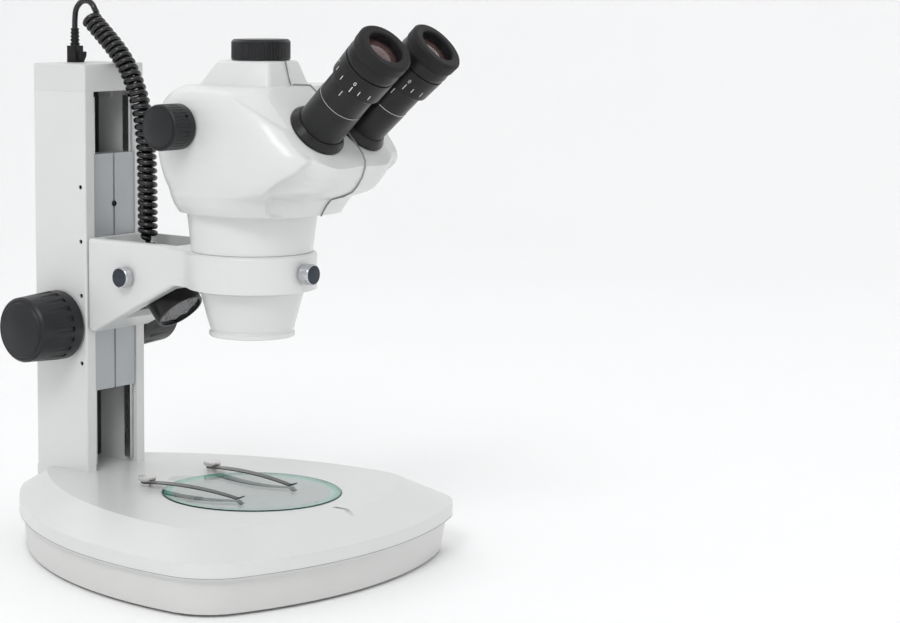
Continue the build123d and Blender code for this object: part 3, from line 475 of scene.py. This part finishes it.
def headBlock():
    bm = bmesh.new()
    bmesh.ops.create_cube(bm, size=2)
    bmesh.ops.subdivide_edges(bm, edges=bm.edges, cuts=head["cuts"], use_grid_fill=True)
    for vert in bm.verts:
        u, v, w = vert.co
        z = head["low"] + (w + 1) / 2 * (head["top"] - head["low"])
        half, front, back = along(head["half"], z), along(head["front"], z), along(head["back"], z)
        reach = max(abs(u), abs(v))
        if reach > 1e-6:
            angle = math.atan2(v, u)
            c, s = abs(math.cos(angle)), abs(math.sin(angle))
            power = along(head["corner"], z)
            radius = 1 / (c ** power + s ** power) ** (1 / power)
            px, py = math.cos(angle) * radius * reach, math.sin(angle) * radius * reach
        else:
            px, py = 0, 0
        py = py * (1 - 0.055 * px * px) if py < 0 else py
        middle = (front + back) / 2
        vert.co = (half * px, middle + (back - front) / 2 * py, z)
    bmesh.ops.smooth_vert(bm, verts=bm.verts, factor=0.5, use_axis_x=True, use_axis_y=True, use_axis_z=True)
    bm.normal_update()
    moves = []
    for vert in bm.verts:
        x, y, z = vert.co
        if abs(x) < 22 or z < head["low"] + 0.2 or z > head["top"] - 0.2:
            continue
        gap = outsideCheek(y, z)
        side = easeIn((abs(x) - 22) / 26)
        facing = easeIn((abs(vert.normal.x) + max(0, -vert.normal.y) * 0.55) * 1.3 - 0.1)
        low = easeIn((300 - z) / 30)
        drop = easeIn(gap / head["step"]) * (2.3 + 3.0 * low) + 2.6 * low * easeIn(gap / 24)
        fold = easeIn((z - 300) / 10) * easeIn((-18 - y) / 14)  # the lesser fold above the cheek's edge
        drop -= 1.9 * fold * math.exp(-((gap - 11.5) / 3.4) ** 2)
        moves.append((vert, vert.normal * -drop * side * facing))
    for vert, move in moves:
        vert.co += move
    bmesh.ops.smooth_vert(bm, verts=bm.verts, factor=0.35, use_axis_x=True, use_axis_y=True, use_axis_z=True)
    return bm


seats = {"at": (22.1, -74.1, 306.6), "rise": 42.5, "splay": 5.3}  # the right-hand one, and how its tube leans


def seatMatrix(side):
    rise, splay = math.radians(seats["rise"]), math.radians(seats["splay"])
    out = Vector((side * math.cos(rise) * math.sin(splay), -math.cos(rise) * math.cos(splay),
                  math.sin(rise)))
    across = Vector((0, 0, 1)).cross(out).normalized()
    turn = Matrix((across, out.cross(across), out)).transposed().to_4x4()
    x, y, z = seats["at"]
    return Matrix.Translation((side * x, y, z)) @ turn


def cutSeats(bm):
    for side in (-1, 1):
        seat = seatMatrix(side)
        out = seat.col[2].to_3d()
        own = [v for v in bm.verts if v.co.x * side >= -1e-4]
        geom = own + [e for e in bm.edges if all(v.co.x * side >= -1e-4 for v in e.verts)] \
            + [f for f in bm.faces if all(v.co.x * side >= -1e-4 for v in f.verts)]
        bmesh.ops.bisect_plane(bm, geom=geom, dist=1e-4, plane_co=seat.translation, plane_no=out,
                               clear_outer=True, clear_inner=False)
    bmesh.ops.remove_doubles(bm, verts=bm.verts, dist=1e-3)
    rim = [e for e in bm.edges if e.is_boundary]
    bmesh.ops.holes_fill(bm, edges=rim, sides=0)
    lid = [f for f in bm.faces if len(f.verts) > 20]
    bmesh.ops.triangulate(bm, faces=lid)


neck = {"foot": 331.5, "top": 351.0, "round": 2.6}


def neckBlock(bm):
    low = [(22, -33.9), (30, -3), (30, 21), (20, 33)]
    high = [(15, -28.3), (22, -14), (22, 12), (14, 18)]
    rings = []
    for corners, z in ((low, neck["foot"]), (high, neck["top"])):
        outline = corners + [(-x, y) for x, y in reversed(corners)]
        rings.append([bm.verts.new((x, y, z)) for x, y in outline])
    bm.faces.new(rings[1])
    bm.faces.new(list(reversed(rings[0])))
    sides = []
    for k in range(8):
        face = bm.faces.new((rings[0][k], rings[0][(k + 1) % 8], rings[1][(k + 1) % 8], rings[1][k]))
        sides.append(face)
    edges = list({e for f in sides for e in f.edges if any(v in rings[1] for v in e.verts)})
    bmesh.ops.bevel(bm, geom=edges, offset=neck["round"], offset_type="OFFSET", affect="EDGES", segments=5,
                    profile=0.5, material=-1, clamp_overlap=True)


headMesh = headBlock()
cutSeats(headMesh)
neckBlock(headMesh)
bmesh.ops.recalc_face_normals(headMesh, faces=headMesh.faces)
headShell = finishPiece(headMesh, "headShell", "head", finishes["white_enamel"],
                        ["head_housing_left", "head_housing_right"], corner=38)
print("head shell", len(headShell.data.polygons), "faces")

# the seam where the two halves meet, drawn as a thin grey strip of painted shade in its gap
seam = {"half": 0.13, "proud": 0.07, "deep": 1.2}
seamPath = [(-28.4, 351.0), (-31.1, 340.1), (-33.9, 333.6), (-36, 334.7), (-50.6, 334.7), (-61.5, 326),
            (-69.5, 318),
            (-81.5, 306), (-86.2, 301), (-90.4, 296.6), (-94.6, 291.8), (-96.8, 287.2), (-96.7, 282.7),
            (-94.6, 276.7), (-90.6, 270.8), (-86.5, 266.5), (-79.5, 263.4), (-68.8, 260.5), (-64.6, 256),
            (-61.6, 251.5), (-60, 248.6)]
bm = bmesh.new()
rows = []
for i, (y, z) in enumerate(seamPath):
    before, after = seamPath[max(i - 1, 0)], seamPath[min(i + 1, len(seamPath) - 1)]
    run = Vector((0, after[0] - before[0], after[1] - before[1])).normalized()
    out = Vector((0, run.z * -1, run.y)) if run.z < 0 or abs(run.z) < 0.3 else Vector((0, -run.z, run.y))
    spot = Vector((0, y, z))
    row = [spot + Vector((x, 0, 0)) + out * depth for x, depth in ((-seam["half"], seam["proud"]),
           (seam["half"], seam["proud"]), (seam["half"], -seam["deep"]), (-seam["half"], -seam["deep"]))]
    rows.append([bm.verts.new(v) for v in row])
for low, high in zip(rows, rows[1:]):
    for k in range(4):
        bm.faces.new((low[k], low[(k + 1) % 4], high[(k + 1) % 4], high[k]))
bm.faces.new(rows[0])
bm.faces.new(rows[-1])
bmesh.ops.recalc_face_normals(bm, faces=bm.faces)
finishPiece(bm, "headSeam", "head", paintedSeamShade)
print("seam laid")

# what each carried-over CAD piece is called, and how far its edges are eased, in mm
eased = {
    "base_upper_shell": ("baseUpperShell", 0.9, 18, 3), "base_lower_shell": ("baseLowerShell", 0.8, 30, 2),
    "column": ("columnExtrusion", 0.35, 30, 2), "column_cap": ("columnCap", 0.4, 30, 2),
    "focus_arm": ("focusArmCasting", 1.0, 32, 3), "carriage": ("slidingCarriage", 0.25, 30, 2),
    "focus_knob_left": ("focusKnobLeft", 0.35, 28, 2), "focus_knob_right": ("focusKnobRight", 0.35, 28, 2),
    "zoom_knob_left": ("zoomKnobLeft", 0.2, 28, 2), "zoom_knob_right": ("zoomKnobRight", 0.2, 28, 2),
    "objective_barrel": ("objectiveBarrel", 0.3, 25, 2), "port_cap": ("portCap", 0.25, 28, 2),
    "photo_port": ("cameraPort", 0.2, 30, 2), "head_clamp_screw": ("headClampScrew", 0.25, 30, 2),
    "lamp_clamp_screw": ("lampClampScrew", 0.25, 30, 2), "lamp_housing": ("lampHousing", 0.3, 25, 2),
    "eye_tube_left": ("eyeTubeLeft", 0.15, 20, 2), "eye_tube_right": ("eyeTubeRight", 0.15, 20, 2),
    "dioptre_ring_left": ("dioptreRingLeft", 0.2, 20, 2),
    "dioptre_ring_right": ("dioptreRingRight", 0.2, 20, 2),
    "eyepiece_left": ("eyepieceLeft", 0.2, 20, 2), "eyepiece_right": ("eyepieceRight", 0.2, 20, 2),
    "eyecup_left": ("eyecupLeft", 0.5, 20, 3), "eyecup_right": ("eyecupRight", 0.5, 20, 3),
    "stage_clip_left": ("stageClipLeft", 0.15, 30, 1), "stage_clip_right": ("stageClipRight", 0.15, 30, 1),
    "clip_screws": ("clipScrews", 0.15, 30, 1), "cord_plug": ("leadPlug", 0.25, 30, 2),
    "rubber_feet": ("rubberFeet", 0.4, 30, 2),
}
for node, (name, edge, corner, rounds) in eased.items():
    softCopy(node, name, edge, corner, rounds)
print("CAD pieces eased")

# marks on the dioptre rings and lines round the eye tubes
marks = {"ringRadius": 18.55, "ringAt": 57.0, "zero": -60, "ticks": [-82, -55, -30, 18, 42], "plus": -69,
         "tick": (0.45, 0.2, 3.4)}


# local frame on a tube's side: x round it, y outwards, z up it; 0 degrees is its lowest side
def placeOnTube(angle, radius, height):
    turn = math.radians(angle)
    out = Vector((math.sin(turn), -math.cos(turn), 0))
    around = Vector((math.cos(turn), math.sin(turn), 0))
    frameTurn = Matrix((around, out, Vector((0, 0, 1)))).transposed().to_4x4()
    return Matrix.Translation(out * radius + Vector((0, 0, height))) @ frameTurn


# flat raised lettering, its face along the local y axis
def writeText(bm, words, size, place):
    curve = bpy.data.curves.new("lettering", "FONT")
    curve.body = words
    curve.size = size
    curve.extrude = 0.05
    curve.align_x = "CENTER"
    curve.align_y = "CENTER"
    curve.resolution_u = 4
    holder = bpy.data.objects.new("lettering", curve)
    bpy.context.scene.collection.objects.link(holder)
    bpy.context.view_layer.update()
    mesh = bpy.data.meshes.new_from_object(holder)
    mesh.transform(place @ Matrix(((1, 0, 0, 0), (0, 0, 1, 0), (0, 1, 0, 0), (0, 0, 0, 1))))
    bm.from_mesh(mesh)
    bpy.data.objects.remove(holder)
    bpy.data.curves.remove(curve)
    bpy.data.meshes.remove(mesh)


for side, word in ((-1, "left"), (1, "right")):
    seat = seatMatrix(side)
    bm = bmesh.new()
    for angle in marks["ticks"]:
        addBlock(bm, marks["tick"], seat @ placeOnTube(marks["zero"] + angle, marks["ringRadius"],
                                                       marks["ringAt"] - 2.5))
    addBlock(bm, (0.55, 0.2, 4.4), seat @ placeOnTube(marks["zero"], marks["ringRadius"] - 0.05,
                                                      marks["ringAt"] - 3.4))
    writeText(bm, "0", 3.8, seat @ placeOnTube(marks["zero"], marks["ringRadius"] + 0.12,
                                               marks["ringAt"] + 1.6))
    writeText(bm, "+", 4.2, seat @ placeOnTube(marks["zero"] + marks["plus"], marks["ringRadius"] + 0.12,
                                               marks["ringAt"]))
    bmesh.ops.recalc_face_normals(bm, faces=bm.faces)
    finishPiece(bm, "dioptreMarks" + word.title(), "dioptre_" + word, markPaint)
    bm = bmesh.new()
    addBlock(bm, (0.5, 0.2, 4.4), seat @ placeOnTube(marks["zero"] - 12, 16.2, 44.8))
    spinRing(bm, [(16.3, 31.0), (16.52, 31.05), (16.52, 31.35), (16.3, 31.4)], 96, seat)
    finishPiece(bm, "tubeLines" + word.title(), "pupil_" + word, brightEdge)
print("eye tubes marked")

# scale on the right-hand zoom knob
zoomAxle = (9, 308.4)  # y and z of the zoom shaft
scale = {"at": 68.2, "radius": 15.42, "size": 3.3, "numbers": ["0.8", "1", "2", "3", "4", "5"], "step": 24,
         "first": -78}
bm = bmesh.new()
for i, words in enumerate(scale["numbers"]):
    turn = math.radians(scale["first"] + scale["step"] * i)
    out = Vector((0, -math.cos(turn), -math.sin(turn)))
    spot = Vector((scale["at"], *zoomAxle)) + out * scale["radius"]
    across = Vector((1, 0, 0))
    frameTurn = Matrix((across, out, out.cross(across) * -1)).transposed().to_4x4()
    writeText(bm, words, scale["size"], Matrix.Translation(spot) @ frameTurn)
bmesh.ops.recalc_face_normals(bm, faces=bm.faces)
finishPiece(bm, "zoomScale", "zoom", markPaint)
print("zoom scale written")

# small trims: the grub screw's hole and thin rim on each zoom knob, and the stage glass
knobEnd = 84.4
for side, word in ((-1, "Left"), (1, "Right")):
    axle = Matrix.Translation((0, *zoomAxle)) @ Matrix.Rotation(side * math.radians(90), 4, "Y")
    bm = bmesh.new()
    spinRing(bm, [(13.3, knobEnd + 0.3), (14.5, knobEnd - 0.1), (14.5, knobEnd + 0.25),
                  (13.9, knobEnd + 0.45),
                  (13.3, knobEnd + 0.7)], 96, axle)
    finishPiece(bm, "zoomKnobRim" + word, "zoom", finishes["cup_rubber"])
bm = bmesh.new()
grub = Vector((0, -0.94, -0.34)).normalized()
bmesh.ops.create_cone(bm, cap_ends=True, segments=24, radius1=1.15, radius2=1.15, depth=0.3,
                      matrix=Matrix.Translation(Vector((-70.6, *zoomAxle)) + grub * 15.36)
                      @ grub.to_track_quat("Z", "Y").to_matrix().to_4x4())
finishPiece(bm, "zoomGrubHole", "zoom", finishes["black_anodised"])

# painted reflection: the clamp screws' polished end faces are near black and blue-grey, standing in for a
# dark room mirrored in the chrome
screwFaceDarkReflection = makeFinish("polishedFaceDarkReflection", (0.055, 0.062, 0.075), rough=0.1, metal=1, tone=0.1, spread=0.03,
                       grain=900)
faces = {
    "headClampFace": ("head_clamp", (0, -54.62, 208.25), (0, -1, 0), 6.4),
    "lampClampFace": ("lamp_clamp", (-38.22, 90, 198), (-1, 0, 0), 6.5),
}
for name, (body, spot, out, radius) in faces.items():
    bm = bmesh.new()
    turn = Vector(out).to_track_quat("Z", "Y").to_matrix().to_4x4()
    spinRing(bm, [(0.001, -0.1), (radius, -0.1), (radius, 0.05), (radius - 0.5, 0.16), (0.001, 0.16)], 64,
             Matrix.Translation(spot) @ turn)
    finishPiece(bm, name, body, screwFaceDarkReflection)
lampBoard = makeFinish("lampBoard", (0.012, 0.012, 0.013), shine=0.2, rough=0.5, tone=0.2, toneSize=300)
frame["nodes"]["lamp_led_board"].data.materials[0] = lampBoard
spot = {"y": 90, "z": 198, "tilt": 42, "window": 33.25, "leds": 8, "ring": 10.5, "led": 2.3}
tilt = math.radians(spot["tilt"])
aim = Vector((0, -math.sin(tilt), -math.cos(tilt)))
lampTurn = Matrix((Vector((1, 0, 0)), aim.cross(Vector((1, 0, 0))), aim)).transposed().to_4x4()
lampPlace = Matrix.Translation((0, spot["y"], spot["z"])) @ lampTurn
ledGlow = makeFinish("ledLens", (0.30, 0.30, 0.29), rough=0.2, tone=0.15, toneSize=600, coat=0.5)
bm = bmesh.new()
for i in range(spot["leds"]):
    angle = 2 * math.pi * (i + 0.5) / spot["leds"]
    at = Matrix.Translation((spot["ring"] * math.cos(angle), spot["ring"] * math.sin(angle), spot["window"]))
    spinRing(bm, [(spot["led"] - 0.5, 0), (spot["led"], 0), (spot["led"], 0.25),
                  (spot["led"] - 0.5, 0.35)], 24, lampPlace @ at)
    spinRing(bm, [(0.001, 0), (0.9, 0), (0.6, 0.3), (0.001, 0.4)], 16, lampPlace @ at)
finishPiece(bm, "lampLeds", "lamp", ledGlow)
bm = bmesh.new()
spinRing(bm, [(15.9, 34.2), (16.9, 34.95), (17.5, 34.9), (17.9, 34.3), (17.9, 33.6), (15.9, 33.6)], 96,
         lampPlace)
finishPiece(bm, "lampRim", "lamp", finishes["black_satin"])

# the pad that the lead's end stands on, and the stop screw in the carriage's groove
pad = {"size": (30, 25, 1.1), "at": (0, 99, 215.6), "ease": 0.4}
stopScrewAt = (0, 131.15, 245)
bm = bmesh.new()
addBlock(bm, pad["size"], Matrix.Translation(pad["at"]))
bmesh.ops.bevel(bm, geom=bm.edges[:], offset=pad["ease"], offset_type="OFFSET", affect="EDGES", segments=2,
                profile=0.5,
                material=-1, clamp_overlap=True)
finishPiece(bm, "leadPad", "carriage", finishes["cord_jacket"])
bm = bmesh.new()
frontOn = Matrix.Translation(stopScrewAt) @ Matrix.Rotation(math.radians(90), 4, "X")
spinRing(bm, [(0.9, -0.9), (2.1, -0.9), (2.1, 0.45), (1.8, 0.75), (1.0, 0.75), (0.9, 0.2)], 48, frontOn)
finishPiece(bm, "stopScrew", "carriage", finishes["black_steel"])

glass = {"radius": 62.4, "low": 46.7, "top": 52.5, "ease": 0.5}
bm = bmesh.new()
bmesh.ops.create_cone(bm, cap_ends=True, segments=160, radius1=glass["radius"], radius2=glass["radius"],
                      depth=glass["top"] - glass["low"],
                      matrix=Matrix.Translation((0, 0, (glass["top"] + glass["low"]) / 2)))
rims = [e for e in bm.edges if e.calc_face_angle(0) > 1]
bmesh.ops.bevel(bm, geom=rims, offset=glass["ease"], offset_type="OFFSET", affect="EDGES", segments=2,
                profile=0.5,
                material=-1, clamp_overlap=True)
finishPiece(bm, "stageGlass", "stand", finishes["plate_glass"], ["stage_plate"], corner=12)
print("trims added")

# a dark line of painted shade where the upper shell's lip meets the lower one
lipLine = {"low": 27.35, "high": 27.75, "proud": 0.06}
bm = bmesh.new()
bm.from_mesh(frame["nodes"]["base_upper_shell"].data)
bmesh.ops.remove_doubles(bm, verts=bm.verts, dist=0.000004)
for height, up in ((lipLine["low"], -1), (lipLine["high"], 1)):
    bmesh.ops.bisect_plane(bm, geom=bm.verts[:] + bm.edges[:] + bm.faces[:], dist=1e-6,
                           plane_co=(0, 0, height * 0.001), plane_no=(0, 0, up),
                           clear_outer=True, clear_inner=False)
inner = [f for f in bm.faces if f.calc_center_median().length < 0.09
         or f.normal.dot(Vector((f.calc_center_median().x, f.calc_center_median().y, 0))) < 0]
bmesh.ops.delete(bm, geom=inner, context="FACES")
for vert in bm.verts:
    flat = Vector((vert.normal.x, vert.normal.y, 0)).normalized()
    vert.co += flat * lipLine["proud"] * 0.001
bmesh.ops.solidify(bm, geom=bm.faces[:], thickness=0.0002)
bmesh.ops.recalc_face_normals(bm, faces=bm.faces)
# the band carries the seam's painted shade
finishPiece(bm, "lipLine", "stand", paintedSeamShade, place=Matrix())
print("lip line cut")

# floor, curving up far behind so that no edge shows
bm = bmesh.new()
sweep = {"flat": 1.9, "bend": 1.3, "high": 2.2, "steps": 14}
spots = [(0.0, 0.0), (sweep["flat"], 0.0)]
for i in range(1, sweep["steps"] + 1):
    turn = math.radians(90) * i / sweep["steps"]
    spots.append((sweep["flat"] + sweep["bend"] * math.sin(turn), sweep["bend"] * (1 - math.cos(turn))))
spots.append((sweep["flat"] + sweep["bend"], sweep["high"]))
rowVerts = [bm.verts.new((r, 0, z)) for r, z in spots]
rowEdges = [bm.edges.new(pair) for pair in zip(rowVerts, rowVerts[1:])]
bmesh.ops.spin(bm, geom=rowVerts + rowEdges, cent=(0, 0, 0), axis=(0, 0, 1), angle=2 * math.pi, steps=96,
               use_merge=True, use_duplicate=False)
bmesh.ops.remove_doubles(bm, verts=bm.verts, dist=1e-5)
bmesh.ops.recalc_face_normals(bm, faces=bm.faces)
for face in bm.faces:
    face.smooth = True
floorMesh = bpy.data.meshes.new("studioFloor")
bm.to_mesh(floorMesh)
bm.free()
floorMesh.materials.append(makeFinish("paleFloor", (0.96, 0.96, 0.96), shine=0.1, rough=0.8, tone=0.005,
                                      toneSize=3, grain=300))
studioFloor = bpy.data.objects.new("studioFloor", floorMesh)
bpy.context.scene.collection.objects.link(studioFloor)
print("floor laid")
